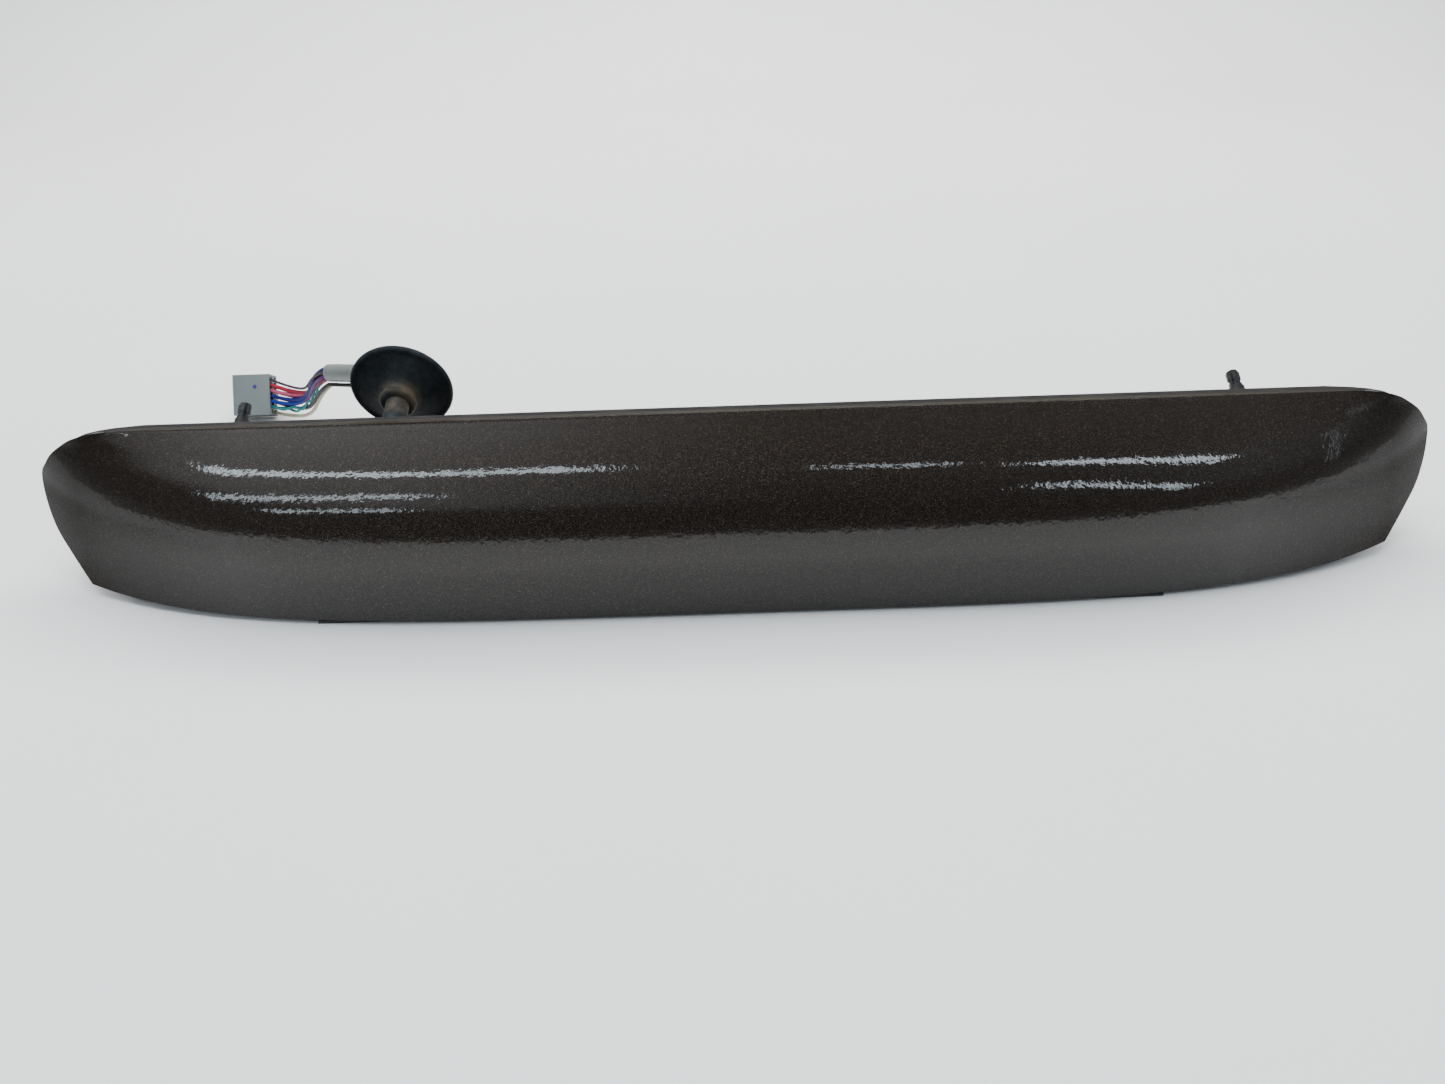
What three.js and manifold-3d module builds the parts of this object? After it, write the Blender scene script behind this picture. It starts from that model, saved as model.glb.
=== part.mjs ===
// Third brake light in a painted lip housing. Millimetres, +X right, +Y back, +Z up.
// It lies on the lamp's bezel, painted face towards -Y, studs and grommet towards +Y.
import * as THREE from "three";
import { mergeVertices } from "three/addons/utils/BufferGeometryUtils.js";
import Module from "manifold-3d";

const wasm = await Module();
wasm.setup();

// Cover: a section at the middle (y, z) and the matching points of the right end (x, y, z).
const COVER_SKIN = 2.6;
const MIDDLE = [
  [3.2, 1.5], [1.2, 12], [0.3, 21], [0, 30], [0.9, 38], [2.6, 44.5],
  [5.5, 51], [11.4, 58.4], [18.9, 63.6], [26.8, 66.7], [36.2, 69.1], [43.9, 70.5], [50.2, 69.4],
];
const RIGHT_END = [
  [275, 35.8, 5.1], [284, 44.3, 14.1], [292.5, 52.8, 24.1], [297.5, 60.3, 33.6], [300, 66.3, 41.6],
  [298, 65.2, 45.6], [294, 62.2, 49.6], [288, 58.6, 55.4], [280.5, 55, 60.6], [272.5, 51.4, 65.1],
  [263, 49, 68.1], [254, 48, 69.3], [240, 50.2, 69.2],
];
const SWEEP_POWER = 4.5;
const COVER_STATIONS = 49;
const COVER_ROWS = 27;

// Mount plate: its front plane passes through the top point and tilts back.
const MOUNT_TILT = THREE.MathUtils.degToRad(32);
const PLATE_TOP = [53.95, 66.66];
const PLATE_THICK = 2.5;
const PLATE_EDGE = [
  [246, 1.1], [258, 2.4], [266, 4], [273, 6.2], [278, 9], [281, 12.5],
  [281, 22], [279, 31], [269, 48], [265, 69],
];
const SEAL_THICK = 1.8;
const SEAL_WIDTH = 3;
const STUD_XS = [-208, 213];
const STUD_DROP = 9.3;
const STUD_REACH = 15.6;

// Lower panel and lamp.
const PANEL_Z = 9;
const PANEL_THICK = 2.5;
const LAMP_HALF = 163;
const LAMP_FRONT = 15;
const LAMP_BACK = 58;
const LAMP_TOP = 34;
const LAMP_WALL = 2;
const BEZEL_HALF = 171;
const BEZEL_THICK = 1.1;
const BEZEL_FRONT = 7.2;
const BEZEL_BACK = 62;
const LED_COUNT = 12;
const LED_PITCH = 26;
const LAMP_MID = (LAMP_FRONT + LAMP_BACK) / 2;

// Grommet and harness.
const GROMMET_X = -144.5;
const GROMMET_MID = [88.5, 68.8];
const GROMMET_TILT = THREE.MathUtils.degToRad(16);
const GROMMET_RADIUS = 22;
const STEM_RADIUS = 5;
const STEM_DROP = 12;
const BUNDLE = 8;
const SLEEVE_PATH = [
  [-144.5, 94.2, 70.4], [-146.5, 104, 71], [-158, 119, 65], [-178, 136, 58], [-198, 150, 53.5],
];
const WIRES_PATH = [
  [-199.4, 151, 52.7], [-210, 162, 45], [-222, 177, 35.5], [-232.5, 194, 26],
  [-242, 211, 18.5], [-251, 223.5, 15.3], [-259.8, 225.2, 14.9],
];
const CONNECTOR = [21, 10.5, 23];
const CONNECTOR_MID = [-271.5, 225.6, 12.9];
const CONNECTOR_LEAN = THREE.MathUtils.degToRad(29);
const LATCH = [19, 1.5, 8];
const LATCH_GAP = 1.6;

// Shifts everything so that the origin is under the middle of the depth.
const DEPTH_MIDDLE = 47.7;

const root = new THREE.Group();

function add(name, geometry, color, roughness, metalness = 0) {
  const material = new THREE.MeshStandardMaterial({ color, roughness, metalness });
  const mesh = new THREE.Mesh(geometry, material);
  mesh.name = name;
  geometry.translate(0, -DEPTH_MIDDLE, 0);
  root.add(mesh);
}

function solid(geometry) {
  const bare = new THREE.BufferGeometry();
  const source = geometry.index ? geometry.toNonIndexed() : geometry;
  bare.setAttribute("position", source.getAttribute("position"));
  const merged = mergeVertices(bare, 1e-3);
  return new wasm.Manifold(new wasm.Mesh({
    numProp: 3,
    vertProperties: merged.attributes.position.array,
    triVerts: new Uint32Array(merged.index.array),
  }));
}

function geometryOf(manifold) {
  const mesh = manifold.getMesh();
  const geometry = new THREE.BufferGeometry();
  geometry.setAttribute("position", new THREE.BufferAttribute(mesh.vertProperties, 3));
  geometry.setIndex(new THREE.BufferAttribute(mesh.triVerts, 1));
  geometry.computeVertexNormals();
  return geometry;
}

function box(x0, x1, y0, y1, z0, z1) {
  const geometry = new THREE.BoxGeometry(x1 - x0, y1 - y0, z1 - z0);
  return geometry.translate((x0 + x1) / 2, (y0 + y1) / 2, (z0 + z1) / 2);
}

function upright(topRadius, bottomRadius, x, y, z0, z1, sides = 20) {
  const geometry = new THREE.CylinderGeometry(topRadius, bottomRadius, z1 - z0, sides);
  return geometry.rotateX(Math.PI / 2).translate(x, y, (z0 + z1) / 2);
}

function tube(points, radius, steps, sides) {
  const ring = new THREE.Shape();
  ring.absarc(0, 0, radius, 0, 2 * Math.PI, false);
  const path = new THREE.CatmullRomCurve3(points.map((p) => new THREE.Vector3(...p)));
  return new THREE.ExtrudeGeometry(ring, {
    steps, extrudePath: path, curveSegments: sides, bevelEnabled: false,
  });
}

// Moves geometry made in the plate's own frame (x, down the plate, out of its back) into place.
function onPlate(geometry) {
  const down = new THREE.Vector3(0, Math.sin(MOUNT_TILT), -Math.cos(MOUNT_TILT));
  const out = new THREE.Vector3(0, Math.cos(MOUNT_TILT), Math.sin(MOUNT_TILT));
  const across = new THREE.Vector3().crossVectors(down, out);
  const frame = new THREE.Matrix4().makeBasis(across, down, out);
  frame.setPosition(0, PLATE_TOP[0], PLATE_TOP[1]);
  return geometry.applyMatrix4(frame);
}

function smoothRow(points, share) {
  const curve = new THREE.CatmullRomCurve3(points, false, "centripetal");
  return curve.getPoint(share);
}

const middleCurve = MIDDLE.map(([y, z]) => new THREE.Vector3(0, y, z));
const endCurve = RIGHT_END.map((p) => new THREE.Vector3(...p));

function coverPoint(station, share) {
  const middle = smoothRow(middleCurve, share);
  const end = smoothRow(endCurve, share);
  const sweep = Math.abs(station) ** SWEEP_POWER;
  return new THREE.Vector3(
    station * end.x,
    middle.y + (end.y - middle.y) * sweep,
    middle.z + (end.z - middle.z) * sweep,
  );
}

function coverNormal(station, share) {
  const step = 0.002;
  const along = coverPoint(Math.min(1, station + step), share)
    .sub(coverPoint(Math.max(-1, station - step), share));
  const upwards = coverPoint(station, Math.min(1, share + step))
    .sub(coverPoint(station, Math.max(0, share - step)));
  return along.cross(upwards).normalize();
}

function stationAt(i) {
  const even = (2 * i) / (COVER_STATIONS - 1) - 1;
  return Math.sign(even) * Math.abs(even) ** 0.7;
}

function coverGeometry() {
  const points = [];
  for (const depth of [0, COVER_SKIN]) {
    for (let i = 0; i < COVER_STATIONS; i += 1) {
      for (let j = 0; j < COVER_ROWS; j += 1) {
        const share = j / (COVER_ROWS - 1);
        const normal = coverNormal(stationAt(i), share);
        const point = coverPoint(stationAt(i), share).addScaledVector(normal, -depth);
        points.push(point.x, point.y, point.z);
      }
    }
  }
  const at = (layer, i, j) => (layer * COVER_STATIONS + i) * COVER_ROWS + j;
  const faces = [];
  const quad = (a, b, c, d) => faces.push(a, b, c, a, c, d);
  for (let i = 0; i + 1 < COVER_STATIONS; i += 1) {
    for (let j = 0; j + 1 < COVER_ROWS; j += 1) {
      quad(at(0, i, j), at(0, i + 1, j), at(0, i + 1, j + 1), at(0, i, j + 1));
      quad(at(1, i, j), at(1, i, j + 1), at(1, i + 1, j + 1), at(1, i + 1, j));
    }
    const top = COVER_ROWS - 1;
    quad(at(0, i, 0), at(1, i, 0), at(1, i + 1, 0), at(0, i + 1, 0));
    quad(at(0, i, top), at(0, i + 1, top), at(1, i + 1, top), at(1, i, top));
  }
  const last = COVER_STATIONS - 1;
  for (let j = 0; j + 1 < COVER_ROWS; j += 1) {
    quad(at(0, 0, j), at(0, 0, j + 1), at(1, 0, j + 1), at(1, 0, j));
    quad(at(0, last, j), at(1, last, j), at(1, last, j + 1), at(0, last, j + 1));
  }
  const geometry = new THREE.BufferGeometry();
  geometry.setAttribute("position", new THREE.Float32BufferAttribute(points, 3));
  geometry.setIndex(faces);
  geometry.computeVertexNormals();
  return geometry;
}

function plateOutline(inset) {
  const right = PLATE_EDGE.map(([x, w], i) => {
    const low = i === PLATE_EDGE.length - 1;
    return [x - inset, low ? w - inset : w + inset * Math.max(0, 1 - w / 20)];
  });
  const left = [...right].reverse().map(([x, w]) => [-x, w]);
  return [...right, ...left];
}

function flatSolid(outline, low, high) {
  const shape = new THREE.Shape(outline.map(([x, y]) => new THREE.Vector2(x, y)));
  const settings = { depth: high - low, bevelEnabled: false };
  return new THREE.ExtrudeGeometry(shape, settings).translate(0, 0, low);
}

function plateBore(x, drop, radius) {
  const bore = new THREE.CylinderGeometry(radius, radius, 20, 28);
  return solid(bore.rotateX(Math.PI / 2).translate(x, drop, 0));
}

function mountPlate() {
  let plate = solid(flatSolid(plateOutline(0), 0, PLATE_THICK));
  plate = plate.subtract(plateBore(GROMMET_X, STEM_DROP, STEM_RADIUS + 2.4));
  for (const x of STUD_XS) {
    plate = plate.subtract(plateBore(x, STUD_DROP, 3.4));
  }
  return onPlate(geometryOf(plate));
}

function mountSeal() {
  const low = PLATE_THICK + 0.3;
  const outer = solid(flatSolid(plateOutline(1), low, low + SEAL_THICK));
  const inner = solid(flatSolid(plateOutline(1 + SEAL_WIDTH), low - 1, low + SEAL_THICK + 1));
  return onPlate(geometryOf(outer.subtract(inner)));
}

function stud(x) {
  const back = PLATE_THICK + 0.3;
  const profile = [
    [0, -5], [5, -5], [5, -0.4], [3.1, -0.4], [3.1, back + 7.4],
    [2.7, back + 8], [2.7, back + 9.4], [2.2, back + 9.8], [2.2, back + 10.6],
    [2.7, back + 11], [2.7, back + STUD_REACH - 0.8], [2, back + STUD_REACH],
    [0, back + STUD_REACH],
  ].map(([r, h]) => new THREE.Vector2(r, h));
  const turned = new THREE.LatheGeometry(profile, 20).rotateX(Math.PI / 2);
  return onPlate(turned.translate(x, STUD_DROP, 0));
}

function panelOutline() {
  const front = [];
  for (let i = 0; i <= 20; i += 1) {
    const x = -262 + (524 * i) / 20;
    front.push([x, 7.2 + 37.7 * Math.abs(x / 279) ** SWEEP_POWER]);
  }
  return [...front, [264, 87], [-264, 87]];
}

// Closes an end of the housing between the cover and the mount plate.
function endWall(x) {
  const side = flatSolid([[43.5, 9.5], [88, 9.5], [62.7, 50], [48.5, 50]], 0, 2.5);
  const upright = new THREE.Matrix4().set(0, 0, 1, x, 1, 0, 0, 0, 0, 1, 0, 0, 0, 0, 0, 1);
  return solid(side.applyMatrix4(upright));
}

const LAMP_SCREWS = [[-167, 24], [-167, 48], [167, 24], [167, 48]];

function lowerPanel() {
  let panel = solid(flatSolid(panelOutline(), PANEL_Z, PANEL_Z + PANEL_THICK));
  const edge = LAMP_HALF + 0.5;
  panel = panel.subtract(solid(box(-edge, edge, LAMP_FRONT - 0.5, LAMP_BACK + 0.5, 0, 20)));
  panel = panel.add(endWall(-262)).add(endWall(259.5));
  for (const [x, y] of LAMP_SCREWS) {
    panel = panel.add(solid(upright(3, 3, x, y, BEZEL_THICK + 0.4, PANEL_Z + 1)));
    panel = panel.subtract(solid(upright(1.7, 1.7, x, y, 0, PANEL_Z + 5)));
  }
  return geometryOf(panel);
}

function lampBody() {
  const wall = LAMP_WALL;
  let body = solid(box(-BEZEL_HALF, BEZEL_HALF, BEZEL_FRONT, BEZEL_BACK, 0, BEZEL_THICK));
  body = body.add(solid(box(-LAMP_HALF, LAMP_HALF, LAMP_FRONT, LAMP_BACK, 0.5, LAMP_TOP)));
  const inner = [-LAMP_HALF + wall, LAMP_HALF - wall, LAMP_FRONT + wall, LAMP_BACK - wall];
  body = body.subtract(solid(box(...inner, BEZEL_THICK + 2, LAMP_TOP - wall)));
  body = body.subtract(solid(box(-157, 157, LAMP_FRONT + 3, LAMP_BACK - 3, -1, BEZEL_THICK + 3)));
  for (const [x, y] of LAMP_SCREWS) {
    body = body.subtract(solid(upright(1.8, 1.8, x, y, -1, 3)));
    body = body.subtract(solid(upright(1.7, 3.5, x, y, -0.1, 1.2)));
  }
  body = body.subtract(solid(upright(5, 5, -130, LAMP_MID, LAMP_TOP - 5, LAMP_TOP + 5)));
  return geometryOf(body);
}

function lamps() {
  const xs = Array.from({ length: LED_COUNT }, (_, i) => (i - (LED_COUNT - 1) / 2) * LED_PITCH);
  let reflector = solid(box(-159, 159, LAMP_FRONT + 3, LAMP_BACK - 3, 8, 16));
  xs.forEach((x, i) => {
    reflector = reflector.subtract(solid(upright(5, 12, x, LAMP_MID, 7.9, 16.1, 24)));
    const led = box(x - 2.5, x + 2.5, LAMP_MID - 2.5, LAMP_MID + 2.5, 17.9, 19.7);
    add(`led_${String(i + 1).padStart(2, "0")}`, led, 0xf2e8c0, 0.35);
  });
  add("reflector", geometryOf(reflector), 0xd8dadd, 0.12, 1);
}

function lens() {
  return box(-156.6, 156.6, LAMP_FRONT + 3.4, LAMP_BACK - 3.4, 0.5, 3.2);
}

function lensGasket() {
  const ring = solid(box(-160, 160, LAMP_FRONT + 2.4, LAMP_BACK - 2.4, 4.6, 7.6));
  const open = solid(box(-157, 157, LAMP_FRONT + 5.4, LAMP_BACK - 5.4, 4, 8));
  return geometryOf(ring.subtract(open));
}

function lampScrew(x, y) {
  const head = solid(upright(1.35, 2.6, x, y, 0.15, 1));
  return geometryOf(head.add(solid(upright(1.35, 1.35, x, y, 0.9, PANEL_Z + 2, 12))));
}

// Where the stem runs: inside the housing, in the plate's bore, and just behind the plate.
function stemAxis() {
  const bore = new THREE.Vector3(
    GROMMET_X,
    PLATE_TOP[0] + STEM_DROP * Math.sin(MOUNT_TILT),
    PLATE_TOP[1] - STEM_DROP * Math.cos(MOUNT_TILT),
  );
  const out = new THREE.Vector3(0, Math.cos(MOUNT_TILT), Math.sin(MOUNT_TILT));
  return [-9, 0, 8].map((reach) => bore.clone().addScaledVector(out, reach).toArray());
}

function grommet() {
  const profile = [
    [0, -12], [7.2, -12], [7.4, -9.5], [6.6, -8.4], [9.5, -6.4], [15, -3.6],
    [20.4, -1.1], [21.2, -1.8], [GROMMET_RADIUS, -1], [GROMMET_RADIUS, 0.6], [21.2, 1.2],
    [14, -0.9], [8.2, -2.2], [7, 4.2], [0, 4.2],
  ].map(([r, h]) => new THREE.Vector2(r, h));
  const disc = new THREE.LatheGeometry(profile, 48).rotateX(Math.PI / 2);
  disc.rotateX(-Math.PI / 2 + GROMMET_TILT).translate(GROMMET_X, ...GROMMET_MID);
  const cos = Math.cos(GROMMET_TILT);
  const sin = Math.sin(GROMMET_TILT);
  const neck = [GROMMET_X, GROMMET_MID[0] - 9 * cos, GROMMET_MID[1] - 9 * sin];
  const stem = tube([...stemAxis().slice(0, 3), neck], STEM_RADIUS, 12, 20);
  return geometryOf(solid(disc).add(solid(stem)));
}

function connectorHousing() {
  const [w, d, h] = CONNECTOR;
  const [x, y, z] = CONNECTOR_MID;
  let housing = solid(box(x - w / 2, x + w / 2, y - d / 2, y + d / 2, z - h / 2, z + h / 2));
  for (let i = 0; i < 7; i += 1) {
    const level = z + (i - 3) * 3.1;
    for (const row of [y - 2.4, y + 2.4]) {
      const cavity = box(x + w / 2 - 6, x + w / 2 + 1, row - 1.1, row + 1.1, level - 1, level + 1);
      housing = housing.subtract(solid(cavity));
    }
  }
  const mouth = box(x - w / 2 - 1, x - w / 2 + 9, y - 3.9, y + 3.9, z - h / 2 + 1.3, z + h / 2 - 1.3);
  housing = housing.subtract(solid(mouth));
  const back = y + d / 2;
  for (const side of [-1, 1]) {
    const level = z + side * (LATCH[2] / 2 + 0.8);
    housing = housing.add(solid(box(x - 5, x - 3, back - 0.5, back + 3, level - 0.5, level + 0.5)));
  }
  return leaned(geometryOf(housing));
}

// The connector leans back on the edge it rests on.
function leaned(geometry) {
  const [x, y, z] = CONNECTOR_MID;
  return geometry.translate(-x, -y, -z).rotateX(-CONNECTOR_LEAN).translate(x, y, z);
}

// A lever on the connector's back: pressing its wire end lifts the hook at its other end.
function connectorLatch() {
  const [x, y, z] = CONNECTOR_MID;
  const back = y + CONNECTOR[1] / 2 + LATCH_GAP;
  const start = x - CONNECTOR[0] / 2 + 1;
  const half = LATCH[2] / 2;
  const lever = solid(box(start, start + LATCH[0], back, back + LATCH[1], z - half, z + half));
  const hook = solid(box(start, start + 2, back - 1, back + 0.5, z - 2, z + 2));
  const grip = solid(box(start + LATCH[0] - 3, start + LATCH[0], back + 1, back + 2.6, z - half, z + half));
  return leaned(geometryOf(lever.add(hook).add(grip)));
}

function build() {
  add("painted_cover", coverGeometry(), 0x3b3432, 0.3, 0.4);
  add("mount_plate", mountPlate(), 0x2a2622, 0.6);
  add("mount_seal", mountSeal(), 0x17181a, 0.9);
  add("lower_panel", lowerPanel(), 0x1b1c1e, 0.55);
  add("lamp_body", lampBody(), 0x141517, 0.45);
  add("lens", lens(), 0xa0101a, 0.08);
  add("lens_gasket", lensGasket(), 0x101112, 0.9);
  lamps();
  add("circuit_board", box(-152, 152, LAMP_MID - 11, LAMP_MID + 11, 20, 21.6), 0x1d5a34, 0.5);
  for (let i = 0; i < 4; i += 1) {
    const x = -65 + 44 * i;
    add(`resistor_${i + 1}`, box(x - 3.2, x + 3.2, LAMP_MID - 7, LAMP_MID - 3.8, 21.9, 22.7), 0x151515, 0.5);
  }
  add("board_connector", box(-140, -120, LAMP_MID - 5, LAMP_MID + 5, 21.9, 27.5), 0xd9d6c8, 0.5);
  const tail = stemAxis()[0];
  const inner = [[-130, LAMP_MID, 27.8], [-130, LAMP_MID, 36], [-141, 44, 47], [tail[0], tail[1] - 1.7, tail[2] - 1.1]];
  add("inner_harness", tube(inner, 3.2, 14, 12), 0x1a1a1c, 0.7);
  add("mount_stud_left", stud(STUD_XS[0]), 0x121315, 0.5);
  add("mount_stud_right", stud(STUD_XS[1]), 0x121315, 0.5);
  LAMP_SCREWS.forEach(([x, y], i) => add(`lamp_screw_${i + 1}`, lampScrew(x, y), 0x8d9094, 0.35, 1));
  add("grommet", grommet(), 0x151a20, 0.7);
  add("harness_sleeve", tube(SLEEVE_PATH, BUNDLE / 2 + 0.5, 12, 16), 0x7d8280, 0.7);
  add("harness_wires", tube(WIRES_PATH, BUNDLE / 2, 10, 16), 0x7a2c46, 0.6);
  add("connector_housing", connectorHousing(), 0x8c9492, 0.5);
  add("connector_latch", connectorLatch(), 0x8c9492, 0.5);
}

build();
export default root;
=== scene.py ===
"""Looks of a third brake light in a painted lip housing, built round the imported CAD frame."""
import math

import bmesh
import bpy
from mathutils import Matrix, Vector


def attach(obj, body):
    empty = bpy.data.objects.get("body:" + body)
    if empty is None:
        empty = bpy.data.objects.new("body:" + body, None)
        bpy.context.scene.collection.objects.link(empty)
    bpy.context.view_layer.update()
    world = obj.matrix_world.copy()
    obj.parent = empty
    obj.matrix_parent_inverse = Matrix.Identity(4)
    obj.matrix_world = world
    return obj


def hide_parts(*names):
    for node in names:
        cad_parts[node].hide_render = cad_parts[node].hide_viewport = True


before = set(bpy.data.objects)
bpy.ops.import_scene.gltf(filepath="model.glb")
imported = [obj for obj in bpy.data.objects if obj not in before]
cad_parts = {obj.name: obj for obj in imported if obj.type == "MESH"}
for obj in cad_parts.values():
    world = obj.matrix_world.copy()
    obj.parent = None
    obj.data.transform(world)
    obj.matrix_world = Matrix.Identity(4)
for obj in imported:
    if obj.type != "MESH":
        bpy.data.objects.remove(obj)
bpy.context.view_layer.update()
MM = 0.001
DEPTH_MIDDLE = 47.7

# ---------------------------------------------------------------- cover shape, as in the CAD
COVER_SKIN = 2.6
MIDDLE = [
    (3.2, 1.5), (1.2, 12), (0.3, 21), (0, 30), (0.9, 38), (2.6, 44.5), (5.5, 51), (11.4, 58.4),
    (18.9, 63.6), (26.8, 66.7), (36.2, 69.1), (43.9, 70.5), (50.2, 69.4),
]
RIGHT_END = [
    (275, 35.8, 5.1), (284, 44.3, 14.1), (292.5, 52.8, 24.1), (297.5, 60.3, 33.6),
    (300, 66.3, 41.6), (298, 65.2, 45.6), (294, 62.2, 49.6), (288, 58.6, 55.4),
    (280.5, 55, 60.6), (272.5, 51.4, 65.1), (263, 49, 68.1), (254, 48, 69.3), (240, 50.2, 69.2),
]
SWEEP_POWER = 4.5
# Past this share of a section, counted from its lower edge, the rim is behind its fold.
FOLD_SHARE = 11.15 / 12


def smooth_row(points, share):
    """A point on the centripetal Catmull-Rom curve through the points."""
    place = (len(points) - 1) * share
    i = min(int(place), len(points) - 2)
    weight = place - i
    p1, p2 = points[i], points[i + 1]
    p0 = points[i - 1] if i > 0 else p1 + (p1 - p2)
    p3 = points[i + 2] if i + 2 < len(points) else p2 + (p2 - p1)
    gaps = [max((b - a).length_squared ** 0.25, 1e-4) for a, b in ((p0, p1), (p1, p2), (p2, p3))]
    g0, g1, g2 = gaps
    t1 = ((p1 - p0) / g0 - (p2 - p0) / (g0 + g1) + (p2 - p1) / g1) * g1
    t2 = ((p2 - p1) / g1 - (p3 - p1) / (g1 + g2) + (p3 - p2) / g2) * g1
    c2 = -3 * p1 + 3 * p2 - 2 * t1 - t2
    c3 = 2 * p1 - 2 * p2 + t1 + t2
    return p1 + t1 * weight + c2 * weight**2 + c3 * weight**3


MIDDLE_POINTS = [Vector((0, y, z)) for y, z in MIDDLE]
END_POINTS = [Vector(p) for p in RIGHT_END]


def cover_point(station, share):
    middle = smooth_row(MIDDLE_POINTS, share)
    end = smooth_row(END_POINTS, share)
    sweep = abs(station) ** SWEEP_POWER
    y = middle.y + (end.y - middle.y) * sweep
    z = middle.z + (end.z - middle.z) * sweep
    return Vector((station * end.x, y - DEPTH_MIDDLE, z)) * MM


# ---------------------------------------------------------------- small helpers
def mesh_object(name, verts, faces, material, smooth=True):
    mesh = bpy.data.meshes.new(name)
    mesh.from_pydata([tuple(v) for v in verts], [], faces)
    mesh.update()
    obj = bpy.data.objects.new(name, mesh)
    bpy.context.scene.collection.objects.link(obj)
    if smooth:
        mesh.polygons.foreach_set("use_smooth", [True] * len(mesh.polygons))
    if material:
        mesh.materials.append(material)
    return obj


def ring_faces(rings, sides, capped=True):
    """Faces that join rings of vertices one to the next, and close both ends if asked."""
    faces = []
    for k in range(rings - 1):
        for i in range(sides):
            j = (i + 1) % sides
            faces.append((k * sides + i, k * sides + j, (k + 1) * sides + j, (k + 1) * sides + i))
    if capped:
        faces.append(tuple(reversed(range(sides))))
        faces.append(tuple(range((rings - 1) * sides, rings * sides)))
    return faces


def directions(line, i):
    """Along the line at point i, level across it, and upwards across it."""
    ahead = (line[min(len(line) - 1, i + 1)] - line[max(0, i - 1)]).normalized()
    side = ahead.cross(Vector((0, 0, 1))).normalized()
    return ahead, side, side.cross(ahead).normalized()


def bevelled(obj, width, segments=3, angle=35):
    bevel = obj.modifiers.new("edge", "BEVEL")
    bevel.width = width
    bevel.segments = segments
    bevel.limit_method = "ANGLE"
    bevel.angle_limit = math.radians(angle)
    bevel.harden_normals = True
    return obj


def curve_object(name, points, radius, material, resolution=6):
    data = bpy.data.curves.new(name, "CURVE")
    data.dimensions = "3D"
    data.bevel_depth = radius
    data.bevel_resolution = resolution
    data.use_fill_caps = True
    spline = data.splines.new("POLY")
    spline.points.add(len(points) - 1)
    for target, point in zip(spline.points, points):
        target.co = (*point, 1)
    spline.use_smooth = True
    data.materials.append(material)
    obj = bpy.data.objects.new(name, data)
    bpy.context.scene.collection.objects.link(obj)
    return obj


def lathe_object(name, profile, sides, place, material):
    """Turns (radius, height) pairs about local Z and puts the result at the matrix."""
    verts = []
    for r, h in profile:
        for i in range(sides):
            a = 2 * math.pi * i / sides
            verts.append(place @ Vector((r * math.cos(a), r * math.sin(a), h)))
    return mesh_object(name, verts, ring_faces(len(profile), sides), material)


def rounded_copy(node, width, material, body="lamp"):
    """Stands for a CAD piece with the same faces, its facets merged and its edges rounded."""
    shape = bmesh.new()
    shape.from_mesh(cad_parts[node].data)
    bmesh.ops.remove_doubles(shape, verts=shape.verts, dist=0.00001)
    bmesh.ops.dissolve_limit(shape, angle_limit=math.radians(2), verts=shape.verts, edges=shape.edges)
    mesh = bpy.data.meshes.new(node + "_round")
    shape.to_mesh(mesh)
    shape.free()
    mesh.materials.clear()
    mesh.materials.append(material)
    mesh.polygons.foreach_set("use_smooth", [True] * len(mesh.polygons))
    mesh.polygons.foreach_set("material_index", [0] * len(mesh.polygons))
    obj = bpy.data.objects.new(node + "_round", mesh)
    bpy.context.scene.collection.objects.link(obj)
    bevelled(obj, width, 3, 30)
    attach(obj, body)
    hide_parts(node)
    return obj


def tube_object(name, line, radius, sides, material):
    """A tube round a line of points; radius(i, angle) gives its radius in metres."""
    verts = []
    for i, point in enumerate(line):
        _, side, over = directions(line, i)
        for k in range(sides):
            a = 2 * math.pi * k / sides
            verts.append(point + (side * math.cos(a) + over * math.sin(a)) * radius(i, a))
    return mesh_object(name, verts, ring_faces(len(line), sides), material)


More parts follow.
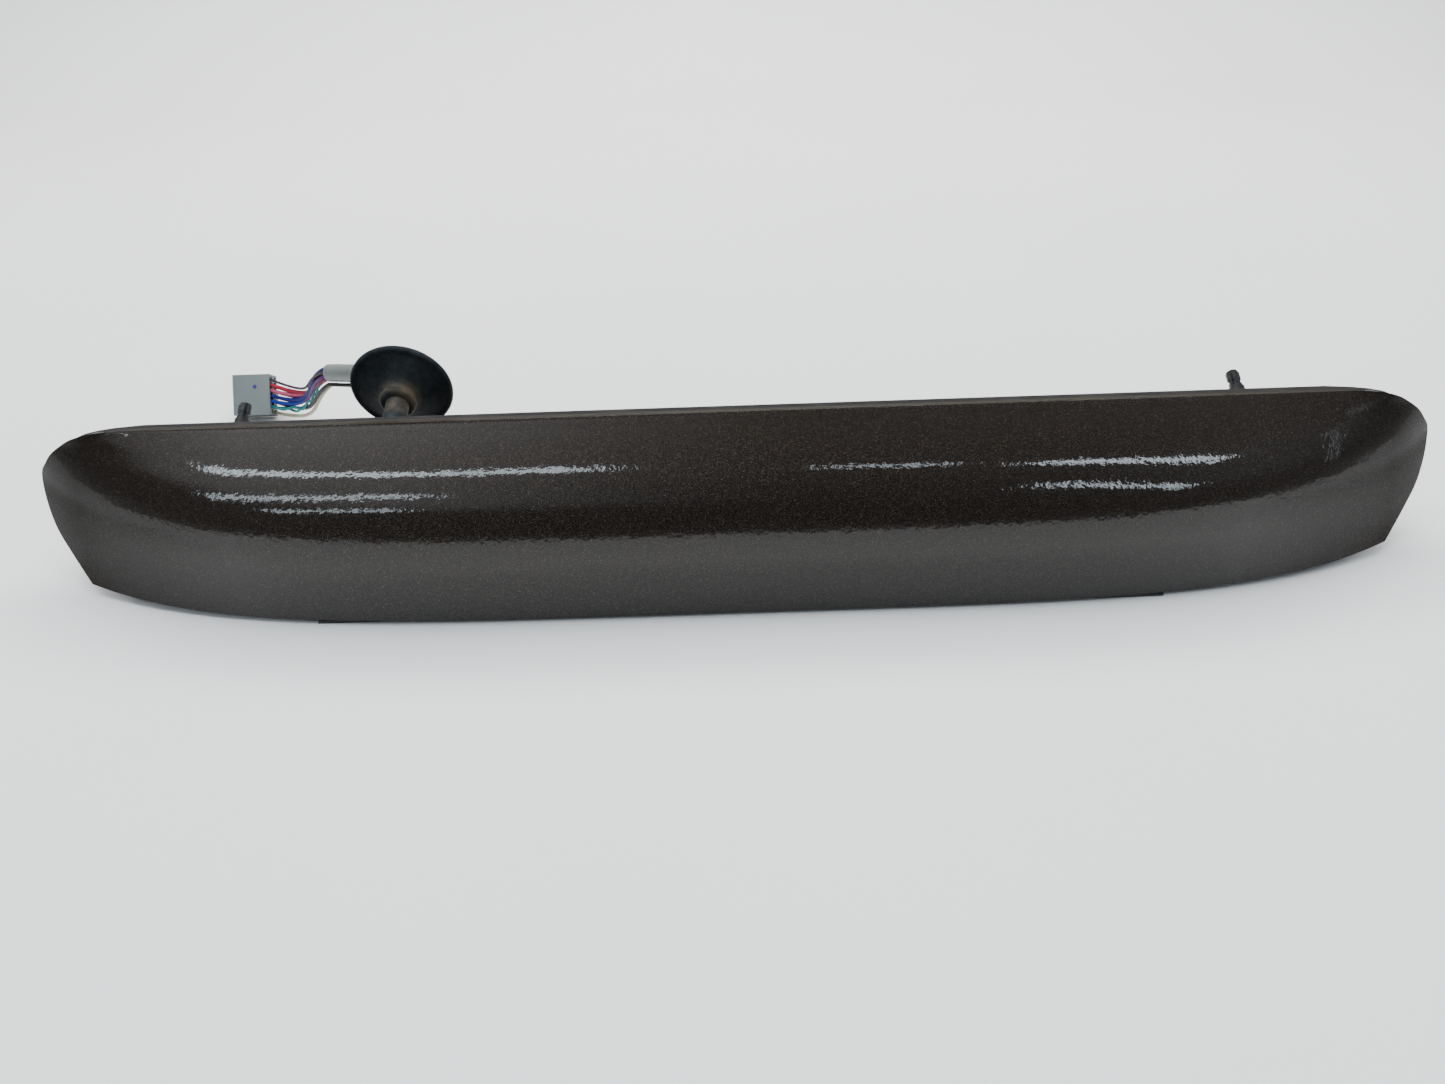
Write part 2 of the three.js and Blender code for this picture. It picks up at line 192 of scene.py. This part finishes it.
# ---------------------------------------------------------------- materials
class Nodes:
    """A material's node tree with short calls."""

    def __init__(self, name):
        self.material = bpy.data.materials.new(name)
        self.material.use_nodes = True
        self.tree = self.material.node_tree
        self.shader = self.tree.nodes["Principled BSDF"]
        self.place = self.add("ShaderNodeTexCoord").outputs["Object"]

    def add(self, kind, **values):
        node = self.tree.nodes.new(kind)
        for key, value in values.items():
            if hasattr(node, key):
                setattr(node, key, value)
        return node

    def link(self, a, b):
        self.tree.links.new(a, b)

    def noise(self, scale, detail=3.0, rough=0.5, stretch=None):
        node = self.add("ShaderNodeTexNoise")
        node.inputs["Scale"].default_value = scale
        node.inputs["Detail"].default_value = detail
        node.inputs["Roughness"].default_value = rough
        source = self.place
        if stretch:
            mapping = self.add("ShaderNodeMapping")
            mapping.inputs["Scale"].default_value = stretch
            self.link(source, mapping.inputs["Vector"])
            source = mapping.outputs["Vector"]
        self.link(source, node.inputs["Vector"])
        return node.outputs["Fac"]

    def cells(self, scale):
        node = self.add("ShaderNodeTexVoronoi")
        node.inputs["Scale"].default_value = scale
        self.link(self.place, node.inputs["Vector"])
        return node.outputs["Color"]

    def ramp(self, source, stops):
        node = self.add("ShaderNodeValToRGB")
        ends = node.color_ramp.elements
        while len(ends) < len(stops):
            ends.new(0.5)
        for element, (at, color) in zip(ends, stops):
            element.position = at
            element.color = (*color, 1) if len(color) == 3 else color
        self.link(source, node.inputs["Fac"])
        return node.outputs["Color"]

    def spread(self, source, low, high, start=0.0, end=1.0):
        node = self.add("ShaderNodeMapRange")
        node.inputs["From Min"].default_value = start
        node.inputs["From Max"].default_value = end
        node.inputs["To Min"].default_value = low
        node.inputs["To Max"].default_value = high
        self.link(source, node.inputs["Value"])
        return node.outputs["Result"]

    def mix(self, share, a, b):
        node = self.add("ShaderNodeMix", data_type="RGBA")
        for socket, value in ((node.inputs["Factor"], share), (node.inputs[6], a), (node.inputs[7], b)):
            if isinstance(value, (int, float)):
                socket.default_value = value
            elif isinstance(value, tuple):
                socket.default_value = (*value, 1)
            else:
                self.link(value, socket)
        return node.outputs[2]

    def bump(self, height, distance, strength=1.0, after=None):
        node = self.add("ShaderNodeBump")
        node.inputs["Distance"].default_value = distance
        node.inputs["Strength"].default_value = strength
        self.link(height, node.inputs["Height"])
        if after:
            self.link(after, node.inputs["Normal"])
        return node.outputs["Normal"]

    def set(self, **values):
        for key, value in values.items():
            socket = self.shader.inputs[key.replace("_", " ")]
            if isinstance(value, (int, float)):
                socket.default_value = value
            elif isinstance(value, tuple):
                socket.default_value = (*value, 1) if len(value) == 3 else value
            else:
                self.link(value, socket)
        return self


def paint():
    """Dark metallic paint under a clear coat that loses its gloss towards both ends."""
    n = Nodes("metallic_paint")
    grey = n.add("ShaderNodeSeparateColor")
    n.link(n.cells(3300), grey.inputs["Color"])
    flakes = [
        (0, (0.007, 0.0056, 0.0048)), (0.55, (0.0145, 0.0118, 0.0101)),
        (0.93, (0.030, 0.0245, 0.0205)), (1, (0.075, 0.061, 0.05)),
    ]
    base = n.ramp(grey.outputs["Red"], flakes)
    base = n.mix(n.spread(n.noise(9, 2), 0, 0.35, 0.35, 0.7), base, (0.0135, 0.0108, 0.0094))
    dust = n.spread(n.noise(380, 2, 0.6), 0, 0.3, 0.75, 0.82)
    base = n.mix(dust, base, (0.08, 0.075, 0.07))
    tilt = n.bump(grey.outputs["Green"], 0.00004, 0.6)
    peel = n.bump(n.noise(480, 2, 0.5), 0.00011, 0.8)
    haze = n.noise(14, 3)
    split = n.add("ShaderNodeSeparateXYZ")
    n.link(n.place, split.inputs["Vector"])
    away = n.add("ShaderNodeMath", operation="ABSOLUTE")
    n.link(split.outputs["X"], away.inputs[0])
    roughness = n.spread(haze, 0.4, 0.52, 0.3, 0.7)
    coat = n.spread(away.outputs[0], 0.78, 0.08, 0.2, 0.275)
    n.set(Base_Color=base, Metallic=0.4, Roughness=roughness, Normal=tilt,
          Specular_IOR_Level=0.1, Specular_Tint=(0.3, 0.26, 0.24),
          Coat_Weight=coat, Coat_Roughness=0.05, Coat_IOR=1.5, Coat_Normal=peel)
    return n.material


def plastic(name, color, rough=0.5, grain=1400, depth=0.00003, dusty=0.12, coat=0.0, gloss=0.5):
    n = Nodes(name)
    wear = n.noise(60, 4, 0.6)
    pale = tuple(min(1, c * 1.8 + 0.02) for c in color)
    base = n.mix(n.spread(wear, 0, dusty * 2.2, 0.45, 0.75), color, pale)
    fine = n.noise(grain, 2)
    n.set(Base_Color=base, Roughness=n.spread(wear, rough - 0.08, rough + 0.12, 0.3, 0.7),
          Normal=n.bump(fine, depth), Coat_Weight=coat, Specular_IOR_Level=gloss)
    return n.material


def rubber(neck):
    """Black rubber with brown road dust that gathers round the neck."""
    n = Nodes("grommet_rubber")
    away = n.add("ShaderNodeVectorMath", operation="DISTANCE")
    away.inputs[1].default_value = neck
    n.link(n.place, away.inputs[0])
    near = n.add("ShaderNodeMath", operation="MULTIPLY")
    n.link(n.spread(away.outputs["Value"], 0.3, 1, 0.004, 0.0065), near.inputs[0])
    n.link(n.spread(away.outputs["Value"], 1, 0.04, 0.0075, 0.0115), near.inputs[1])
    dirt = n.noise(90, 5, 0.65)
    amount = n.add("ShaderNodeMath", operation="MULTIPLY")
    n.link(near.outputs[0], amount.inputs[0])
    n.link(n.spread(dirt, 0, 1, 0.4, 0.6), amount.inputs[1])
    clouds = n.spread(n.noise(110, 6, 0.8), 0, 1, 0.4, 0.62)
    cloudy = n.mix(clouds, (0.003, 0.006, 0.0095), (0.021, 0.026, 0.029))
    base = n.mix(amount.outputs[0], cloudy, (0.085, 0.068, 0.045))
    specks = n.spread(n.noise(900, 2, 0.6), 0, 0.5, 0.7, 0.8)
    base = n.mix(specks, base, (0.09, 0.085, 0.075))
    n.set(Base_Color=base, Roughness=n.spread(dirt, 0.5, 0.8, 0.3, 0.7), Specular_IOR_Level=0.3,
          Normal=n.bump(n.noise(700, 3), 0.00006))
    return n.material


def lens_material():
    n = Nodes("red_lens")
    flow = n.noise(40, 2)
    flutes = n.add("ShaderNodeTexWave")
    flutes.inputs["Scale"].default_value = 95
    n.link(n.place, flutes.inputs["Vector"])
    base = n.mix(n.spread(flow, 0, 0.4), (0.42, 0.006, 0.009), (0.3, 0.004, 0.006))
    n.set(Base_Color=base, Roughness=n.spread(flow, 0.04, 0.1), Transmission_Weight=0.55, IOR=1.49,
          Normal=n.bump(flutes.outputs["Fac"], 0.0002), Coat_Weight=0.4)
    return n.material


def metal(name, color, rough):
    n = Nodes(name)
    brushed = n.noise(900, 3, 0.6, stretch=(1, 1, 6))
    n.set(Base_Color=n.mix(n.spread(brushed, 0, 0.5), color, tuple(c * 0.7 for c in color)),
          Metallic=1.0, Roughness=n.spread(brushed, rough, rough + 0.15),
          Normal=n.bump(brushed, 0.00001))
    return n.material


def tape():
    n = Nodes("grey_tape")
    weave = n.noise(1800, 2, 0.5, stretch=(1, 1, 3))
    broad = n.noise(90, 3)
    base = n.mix(n.spread(broad, 0, 1, 0.3, 0.7), (0.125, 0.14, 0.135), (0.165, 0.182, 0.175))
    n.set(Base_Color=base, Roughness=0.42, Normal=n.bump(weave, 0.00006), Coat_Weight=0.15)
    return n.material


def wire_jacket(name, color):
    n = Nodes(name)
    rub = n.noise(300, 3)
    pale = tuple(min(1, c * 1.25 + 0.006) for c in color)
    n.set(Base_Color=n.mix(n.spread(rub, 0, 0.5, 0.4, 0.7), color, pale),
          Roughness=n.spread(rub, 0.5, 0.65, 0.3, 0.7), Specular_IOR_Level=0.22,
          Normal=n.bump(n.noise(1500, 2), 0.00002))
    return n.material


def marked(material, spot, radius, color):
    """Adds a round dab of paint at a point of the material."""
    tree = material.node_tree
    shader = tree.nodes["Principled BSDF"]
    old = shader.inputs["Base Color"].links[0].from_socket
    place = tree.nodes.new("ShaderNodeTexCoord")
    away = tree.nodes.new("ShaderNodeVectorMath")
    away.operation = "DISTANCE"
    away.inputs[1].default_value = spot
    tree.links.new(place.outputs["Object"], away.inputs[0])
    inside = tree.nodes.new("ShaderNodeMapRange")
    for key, value in (("From Min", radius), ("From Max", radius * 1.15), ("To Min", 1), ("To Max", 0)):
        inside.inputs[key].default_value = value
    tree.links.new(away.outputs["Value"], inside.inputs["Value"])
    mix = tree.nodes.new("ShaderNodeMix")
    mix.data_type = "RGBA"
    mix.inputs[7].default_value = (*color, 1)
    tree.links.new(inside.outputs["Result"], mix.inputs["Factor"])
    tree.links.new(old, mix.inputs[6])
    tree.links.new(mix.outputs[2], shader.inputs["Base Color"])


PAINT = paint()
EDGE = plastic("dull_edge", (0.024, 0.020, 0.015), 0.68, grain=2600, depth=0.00002, dusty=0.2, gloss=0.15)
BLACK = plastic("black_plastic", (0.010, 0.010, 0.011), 0.48)
BROWN = plastic("plate_plastic", (0.022, 0.019, 0.017), 0.55, dusty=0.1)
FOAM = plastic("seal_foam", (0.022, 0.020, 0.019), 0.85, grain=900, depth=0.0003, dusty=0.3)
GREY = plastic("grey_plastic", (0.130, 0.152, 0.151), 0.5, dusty=0.08)
WHITE = plastic("white_plastic", (0.66, 0.64, 0.57), 0.45)
BOARD = plastic("board", (0.012, 0.10, 0.035), 0.35, grain=600, coat=0.4)
LED = plastic("led_plastic", (0.8, 0.74, 0.5), 0.25, coat=0.6)
LENS = lens_material()
BRIGHT = metal("bright_reflector", (0.82, 0.83, 0.85), 0.08)
ZINC = metal("zinc_steel", (0.52, 0.53, 0.55), 0.28)
TAPE = tape()

# ---------------------------------------------------------------- camera
ELEVATION = math.radians(30)
ROLL = math.radians(1.9)
DISTANCE = 0.433
FOCAL_PX = 1085
IMAGE_WIDTH_PX = 1445
CENTRE_X = -0.0066
AIM_HEIGHT = 0.0313


def make_camera():
    data = bpy.data.cameras.new("camera")
    data.sensor_width = 36
    data.lens = data.sensor_width * FOCAL_PX / IMAGE_WIDTH_PX
    camera = bpy.data.objects.new("camera", data)
    bpy.context.scene.collection.objects.link(camera)
    back = Vector((0, -math.cos(ELEVATION), math.sin(ELEVATION)))
    up = Vector((0, math.sin(ELEVATION), math.cos(ELEVATION)))
    # The optical axis passes AIM_HEIGHT above the cover's front foot, measured across the view.
    aim = Vector((0, -DEPTH_MIDDLE * MM, 0)) + up * AIM_HEIGHT
    place = aim + back * DISTANCE + Vector((CENTRE_X, 0, 0))
    turned = Matrix((Vector((1, 0, 0)), up, back)).transposed().to_4x4()
    camera.matrix_world = Matrix.Translation(place) @ turned @ Matrix.Rotation(-ROLL, 4, "Z")
    bpy.context.scene.camera = camera


make_camera()


# ---------------------------------------------------------------- painted cover
def painted_cover():
    stations, rows = 321, 141
    crowding = 0.85  # below 1, it puts the stations closer together towards the ends
    verts, faces = [], []
    for i in range(stations):
        even = 2 * i / (stations - 1) - 1
        station = math.copysign(abs(even) ** crowding, even)
        verts += [cover_point(station, j / (rows - 1)) for j in range(rows)]
    for i in range(stations - 1):
        for j in range(rows - 1):
            a = i * rows + j
            faces.append((a, a + rows, a + rows + 1, a + 1))
    obj = mesh_object("cover_skin", verts, faces, PAINT)
    obj.data.materials.append(EDGE)
    for face in obj.data.polygons:
        face.material_index = int(face.index % (rows - 1) >= FOLD_SHARE * (rows - 1))
    skin = obj.modifiers.new("skin", "SOLIDIFY")
    skin.thickness = COVER_SKIN * MM
    skin.offset = -1
    skin.use_even_offset = True
    bevelled(obj, 0.0007, 3, 50)
    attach(obj, "lamp")
    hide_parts("painted_cover")
    return obj


painted_cover()

# ---------------------------------------------------------------- harness
GROMMET_X = -144.5
GROMMET_MID = (88.5, 68.8)
GROMMET_TILT = math.radians(16)
SLEEVE_PATH = [(-144.5, 94.2, 70.4), (-146.5, 104, 71), (-158, 119, 65), (-178, 136, 58), (-198, 150, 53.5)]
# The third control point of the loose wires' curve, which pulls them down behind the housing.
LOW_POINT = (-227, 208, 9)
CONNECTOR = (21, 10.5, 23)
CONNECTOR_MID = (-271.5, 225.6, 12.9)
CONNECTOR_LEAN = math.radians(29)


def in_row(point):
    x, y, z = point
    return Vector((x, y - DEPTH_MIDDLE, z)) * MM


MOUNT_TILT = math.radians(32)
PLATE_TOP = (53.95, 66.66)
STEM_DROP = 12


def on_plate(x, drop, out):
    """A point in the mount plate's own directions: across, down it and out of its back."""
    cos, sin = math.cos(MOUNT_TILT), math.sin(MOUNT_TILT)
    return in_row((x, PLATE_TOP[0] + drop * sin + out * cos, PLATE_TOP[1] - drop * cos + out * sin))


# ---------------------------------------------------------------- grommet and studs
GROMMET_PROFILE = [
    (0.5, -12.3), (5.2, -12.3), (6.6, -12.1), (7.4, -11.6), (7.8, -10.9), (7.9, -10.1), (7.5, -9.2),
    (7.3, -8.5), (7.9, -7.6), (9.6, -6.3), (12.2, -4.9), (15.4, -3.4), (18.4, -2.3), (19.8, -2.0),
    (20.5, -2.1), (21.2, -2.0), (21.8, -1.5), (22.0, -0.7), (21.9, 0.1), (21.4, 0.7), (20.6, 0.8),
    (19.4, 0.3), (15, -0.8), (11, -1.5), (8.8, -1.8), (7.9, -1.2), (7.3, 1), (7.1, 3.5),
    (6.7, 4.1), (6.0, 4.2), (5.6, 3.8), (5.3, 3.2), (0.5, 3.2),
]


def grommet():
    cos, sin = math.cos(GROMMET_TILT), math.sin(GROMMET_TILT)
    out = Vector((0, cos, sin))
    middle = in_row((GROMMET_X, *GROMMET_MID))
    across = Vector((1, 0, 0))
    turned = Matrix((across, out.cross(across), out)).transposed().to_4x4()
    neck = middle - out * 9 * MM
    material = rubber(tuple(middle - out * 11 * MM))
    profile = [(r * MM, h * MM) for r, h in GROMMET_PROFILE]
    disc = lathe_object("grommet_disc", profile, 96, Matrix.Translation(middle) @ turned, material)
    path = [on_plate(GROMMET_X, STEM_DROP, reach) for reach in (-9, 0, 8)] + [neck]
    line = [smooth_row(path, i / 40) for i in range(41)]
    stem_radius, groove = 0.005, 0.0004

    def ribbed(i, _angle):
        return stem_radius - (groove if i % 8 == 0 else 0)

    stem = tube_object("grommet_stem", line, ribbed, 48, material)
    for piece in (disc, stem):
        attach(piece, "lamp")
        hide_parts("grommet")


def stud(name, x, drop):
    """A moulded push-in post: a plain collar, then a fluted tip with a groove round it."""
    profile = [
        (0.4, -5), (4.9, -5), (5, -4.8), (5, -0.7), (4.8, -0.4), (3.1, -0.4), (3.1, 10), (2.95, 10.3),
        (2.7, 10.6), (2.6, 11), (2.6, 12.1), (2.2, 12.5), (2.2, 13.3), (2.6, 13.7), (2.7, 14.2),
        (2.7, 17.2), (2.55, 17.9), (2.1, 18.35), (0.4, 18.4),
    ]
    sides = 64
    flute_depth, flute_start, flute_end = 0.8, 10.5, 18.2
    verts = []
    for r, h in profile:
        for i in range(sides):
            a = 2 * math.pi * i / sides
            flute = flute_depth * max(0, -math.cos(4 * a)) ** 2 if flute_start < h < flute_end else 0
            verts.append(on_plate(x + (r - flute) * math.cos(a), drop + (r - flute) * math.sin(a), h))
    post = mesh_object(name + "_post", verts, ring_faces(len(profile), sides), BLACK)
    obj = bevelled(post, 0.0001, 1, 50)
    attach(obj, "lamp")
    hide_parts(name)


STUD_DROP = 9.3
grommet()
stud("mount_stud_left", -208, STUD_DROP)
stud("mount_stud_right", 213, STUD_DROP)


def along(points, count):
    vectors = [in_row(p) for p in points]
    return [smooth_row(vectors, i / (count - 1)) for i in range(count)]


# Each wire: name, colour, its place in the taped bundle (sideways, upwards), its place on the
# connector's face (row, height), how far its curve is nudged between them (backwards, upwards),
# its diameter, all in millimetres, and how many turns it makes about its own course.
WIRES = [
    ("wire_violet_grey", (0.045, 0.028, 0.045), (2.6, 1.0), (-2.4, 9.3), (0.4, 1.4), 1.4, 0),
    ("wire_red_1", (0.26, 0.010, 0.030), (-1.3, -2.4), (-2.4, 6.2), (0.5, 1.2), 2.2, 0),
    ("wire_red_2", (0.27, 0.022, 0.065), (1.2, -2.3), (2.4, 6.2), (0.2, 1.0), 2.2, 0),
    ("wire_pink", (0.36, 0.06, 0.12), (-2.6, -0.2), (-2.4, 3.1), (0.6, 0.6), 2.1, 0),
    ("wire_maroon", (0.10, 0.004, 0.020), (0.0, 0.0), (2.4, 3.1), (0.1, 0.2), 2.0, 0),
    ("wire_navy", (0.004, 0.006, 0.11), (1.2, 2.5), (-2.4, 0), (0.4, -0.6), 2.1, 0),
    ("wire_blue", (0.006, 0.020, 0.2), (-1.1, 2.4), (-2.4, -3.1), (0.6, -1.0), 2.1, 0),
    ("wire_violet", (0.08, 0.01, 0.12), (2.6, -0.9), (2.4, 0), (0.2, -0.6), 1.9, 0),
    ("wire_teal_1", (0.008, 0.14, 0.15), (0.4, -1.2), (-2.4, -6.2), (0.2, -1.4), 1.4, 4),
    ("wire_teal_2", (0.015, 0.20, 0.21), (-0.5, -0.9), (2.4, -6.2), (0.2, -1.4), 1.4, 4),
    ("wire_black", (0.004, 0.004, 0.006), (2.4, -5.2), (2.4, -3.1), (0.6, -2.4), 1.8, 0),
    ("wire_cream", (0.36, 0.33, 0.25), (0.8, -5.9), (2.4, -9.3), (0.6, -3.2), 1.9, 0),
]


def on_connector(across, row, level):
    """A point of the leaning connector, from its own middle, in its own directions."""
    x, y, z = CONNECTOR_MID
    cos, sin = math.cos(CONNECTOR_LEAN), math.sin(CONNECTOR_LEAN)
    return in_row((x + across, y + row * cos + level * sin, z - row * sin + level * cos))


def smoothstep(share):
    """Eases from 0 to 1."""
    share = min(1, max(0, share))
    return share * share * (3 - 2 * share)


def harness():
    """Every wire runs through the tape, then in one cubic curve down to the connector."""
    loose_steps, reach, twist_radius = 44, 0.026, 0.001
    taped = along(SLEEVE_PATH, 30)
    leave = (taped[-1] - taped[-3] - Vector((0, 0, 0.0016))).normalized()
    low = in_row(LOW_POINT)
    entry = CONNECTOR[0] / 2 - 2
    made = []
    for name, color, start, end, stray, thick, turns in WIRES:
        points = []
        for i, point in enumerate(taped):
            _, side, over = directions(taped, i)
            offset = (over * start[1] - side * start[0]) * MM
            points.append(point + offset)
        goal = on_connector(entry, *end)
        spread = goal - on_connector(entry, 0, 0)
        nudge = Vector((0, stray[0], stray[1])) * MM
        first, last = points[-1], goal
        pull = first + leave * reach + offset * 0.25 + nudge
        lift = low + spread * 0.5 + nudge
        for i in range(1, loose_steps + 1):
            t = i / loose_steps
            point = (first * (1 - t) ** 3 + pull * 3 * t * (1 - t) ** 2 + lift * 3 * t * t * (1 - t)
                     + last * t ** 3)
            if turns:
                spin = 2 * math.pi * turns * t + (math.pi if name.endswith("2") else 0)
                wide = twist_radius * smoothstep(t / 0.3) * smoothstep((1 - t) / 0.15)
                point = point + Vector((0, math.cos(spin), math.sin(spin))) * wide
            points.append(point)
        wire = curve_object(name, points, thick / 2 * MM, wire_jacket(name, color))
        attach(wire, "lamp")
        length = sum((b - a).length for a, b in zip(points, points[1:]))
        made.append((wire, points[0], length, thick * MM))
    return made


def sleeve():
    """Tape wound round the wires: each lap is a small step, and the far end is cut uneven."""
    rings, sides = 60, 36
    line = along(SLEEVE_PATH, rings)
    verts = []
    for i, point in enumerate(line):
        ahead, side, over = directions(line, i)
        turn = i * 0.42
        for k in range(sides):
            a = 2 * math.pi * k / sides
            lap = 0.16 * ((a + turn) / (2 * math.pi) % 1)
            radius = (4.1 + lap) * MM
            slant = 1.4 * MM * math.cos(a) if i == rings - 1 else 0
            offset = side * math.cos(a) * radius + over * math.sin(a) * radius * 0.94
            verts.append(point + offset - ahead * abs(slant))
    obj = mesh_object("tape_sleeve", verts, ring_faces(rings, sides, capped=False), TAPE)
    skin = obj.modifiers.new("skin", "SOLIDIFY")
    skin.thickness = 0.0004
    skin.offset = -1
    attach(obj, "lamp")
    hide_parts("harness_sleeve")
    return obj


tape_sleeve = sleeve()
wires = harness()
marked(GREY, on_connector(2.1, -CONNECTOR[1] / 2, 4.4), 0.0011, (0.012, 0.010, 0.16))
housing = rounded_copy("connector_housing", 0.0003, GREY)
lever = rounded_copy("connector_latch", 0.0002, GREY, "latch")
for name, width, material in (("mount_plate", 0.0006, BROWN), ("mount_seal", 0.0005, FOAM),
                              ("lower_panel", 0.0004, BLACK), ("lamp_body", 0.0003, BLACK),
                              ("board_connector", 0.0004, WHITE), ("lens", 0.0003, LENS)):
    rounded_copy(name, width, material)
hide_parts("harness_wires")


# ---------------------------------------------------------------- materials of the CAD pieces that stay
STAY = {
    "lens_gasket": FOAM, "reflector": BRIGHT, "circuit_board": BOARD, "inner_harness": BLACK,
}
for name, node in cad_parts.items():
    material = STAY.get(name)
    if name.startswith("led_"):
        material = LED
    elif name.startswith("resistor_"):
        material = BLACK
    elif name.startswith("lamp_screw_"):
        material = ZINC
    if material:
        node.data.materials.clear()
        node.data.materials.append(material)


# ---------------------------------------------------------------- stage and light
def floor():
    n = Nodes("pale_floor")
    shade = n.mix(n.spread(n.noise(3, 3), 0, 1), (0.71, 0.715, 0.72), (0.76, 0.765, 0.765))
    n.set(Base_Color=shade, Roughness=n.spread(n.noise(7, 3), 0.65, 0.85),
          Normal=n.bump(n.noise(180, 3), 0.00008))
    # Flat well past the object, then a low quarter-round sweep.
    flat_end, sweep = 1.4, 0.3
    profile = [(-0.37, 0), (-0.2, 0), (0.1, 0), (0.5, 0), (flat_end, 0)]
    for degrees in range(6, 91, 6):
        a = math.radians(degrees)
        profile.append((flat_end + sweep * math.sin(a), sweep - sweep * math.cos(a)))
    verts = []
    for y, z in profile:
        half = 0.5 + 0.6 * min(1, max(0, y + 0.05) / 0.45) + 0.6 * max(0, y - 0.5)
        verts += [(-half, y, z), (half, y, z)]
    faces = [(2 * i, 2 * i + 1, 2 * i + 3, 2 * i + 2) for i in range(len(profile) - 1)]
    mesh_object("floor", verts, faces, n.material)


def area(name, place, aim, size, power, color=(1, 1, 1), turn=0.0):
    data = bpy.data.lights.new(name, "AREA")
    data.shape = "RECTANGLE"
    data.size, data.size_y = size
    data.energy = power
    data.color = color
    light = bpy.data.objects.new(name, data)
    light.location = place
    facing = (Vector(place) - Vector(aim)).to_track_quat("Z", "Y").to_matrix()
    light.rotation_euler = (facing @ Matrix.Rotation(turn, 3, "Z")).to_euler()
    bpy.context.scene.collection.objects.link(light)
    return light


def strip(name, start, end, wide, bright):
    """A lighting tube from start to end, facing the object, with its brightness in W/m2/sr."""
    start, end = Vector(start), Vector(end)
    middle = (start + end) / 2
    out = middle.normalized()
    along_it = (end - start - (end - start).dot(out) * out).normalized()
    long = (end - start).length
    light = area(name, middle, (0, 0, 0), (long, wide), bright * math.pi * long * wide, (0.8, 0.91, 1.0))
    turned = Matrix((along_it, out.cross(along_it), out)).transposed()
    light.rotation_euler = turned.to_euler()


# Each lighting tube: name, both ends as (x, y) in metres, width and brightness.
TUBE_HEIGHT = 1.75
TUBES = [
    ("tube_left_near", (-1.5, -0.21), (-0.6, -0.15), 0.17, 15),
    ("tube_left_next", (-0.58, -0.16), (-0.25, -0.12), 0.2, 12),
    ("tube_left_mid", (-2.5, -1.8), (-0.9, -1.42), 0.2, 10),
    ("tube_left_far", (-2.7, -3.1), (-1.5, -2.65), 0.24, 9),
    ("tube_right_near", (0.22, -0.37), (0.46, -0.5), 0.12, 9),
    ("tube_right_mid", (0.73, -0.6), (1.7, -1.12), 0.2, 14),
    ("tube_right_far", (1.36, -2.3), (2.7, -3.5), 0.24, 12),
]


def light():
    """A room brightest at its upper left, two soft panels, and the tubes that streak the paint."""
    world = bpy.data.worlds.new("studio")
    bpy.context.scene.world = world
    world.use_nodes = True
    tree = world.node_tree

    def node(kind, **values):
        made = tree.nodes.new(kind)
        for key, value in values.items():
            setattr(made, key, value)
        return made

    def fade(source, start, end, low, high):
        made = node("ShaderNodeMapRange", interpolation_type="SMOOTHSTEP")
        for key, value in (("From Min", start), ("From Max", end), ("To Min", low), ("To Max", high)):
            made.inputs[key].default_value = value
        tree.links.new(source, made.inputs["Value"])
        return made.outputs["Result"]

    def join(operation, a, b):
        made = node("ShaderNodeMath", operation=operation)
        tree.links.new(a, made.inputs[0])
        tree.links.new(b, made.inputs[1])
        return made.outputs[0]

    place = node("ShaderNodeTexCoord")
    split = node("ShaderNodeSeparateXYZ")
    tree.links.new(place.outputs["Generated"], split.inputs["Vector"])
    x, y, z = split.outputs["X"], split.outputs["Y"], split.outputs["Z"]
    room = fade(z, 0.05, 0.95, 0.03, 0.1)
    left = join("MULTIPLY", fade(x, 0.1, -0.42, 0, 1.0), fade(z, 0.42, 0.66, 0.06, 1))
    right = join("MULTIPLY", fade(x, 0.3, 0.9, 0, 0.34), fade(z, 0.05, 0.4, 0.2, 1))
    behind = join("MULTIPLY", fade(y, 0.1, 0.6, 0, 0.03), fade(z, 0.2, 0.6, 0.4, 1))
    below = fade(z, -0.15, 0.0, 0.28, 0)
    total = join("ADD", join("ADD", room, left), join("ADD", join("ADD", right, behind), below))
    background = tree.nodes["Background"]
    tree.links.new(total, background.inputs["Strength"])
    background.inputs["Color"].default_value = (0.95, 0.98, 1.0, 1)
    ceiling = area("ceiling", (0, 0.25, 2.2), (0, 0, 0), (2.8, 1.6), 68, (1.0, 0.995, 0.98))
    ceiling.visible_glossy = False
    wash = area("backdrop_wash", (0, 1.15, 1.5), (0, 1.2, 0), (2.6, 0.7), 54, (1.0, 0.99, 0.96))
    wash.visible_glossy = False
    for name, start, end, wide, bright in TUBES:
        strip(name, (*start, TUBE_HEIGHT), (*end, TUBE_HEIGHT), wide, bright)
    strip("window_edge", (2.3, -0.75, 0.2), (2.3, -0.42, 1.25), 0.03, 6)


floor()
light()

bpy.context.view_layer.update()
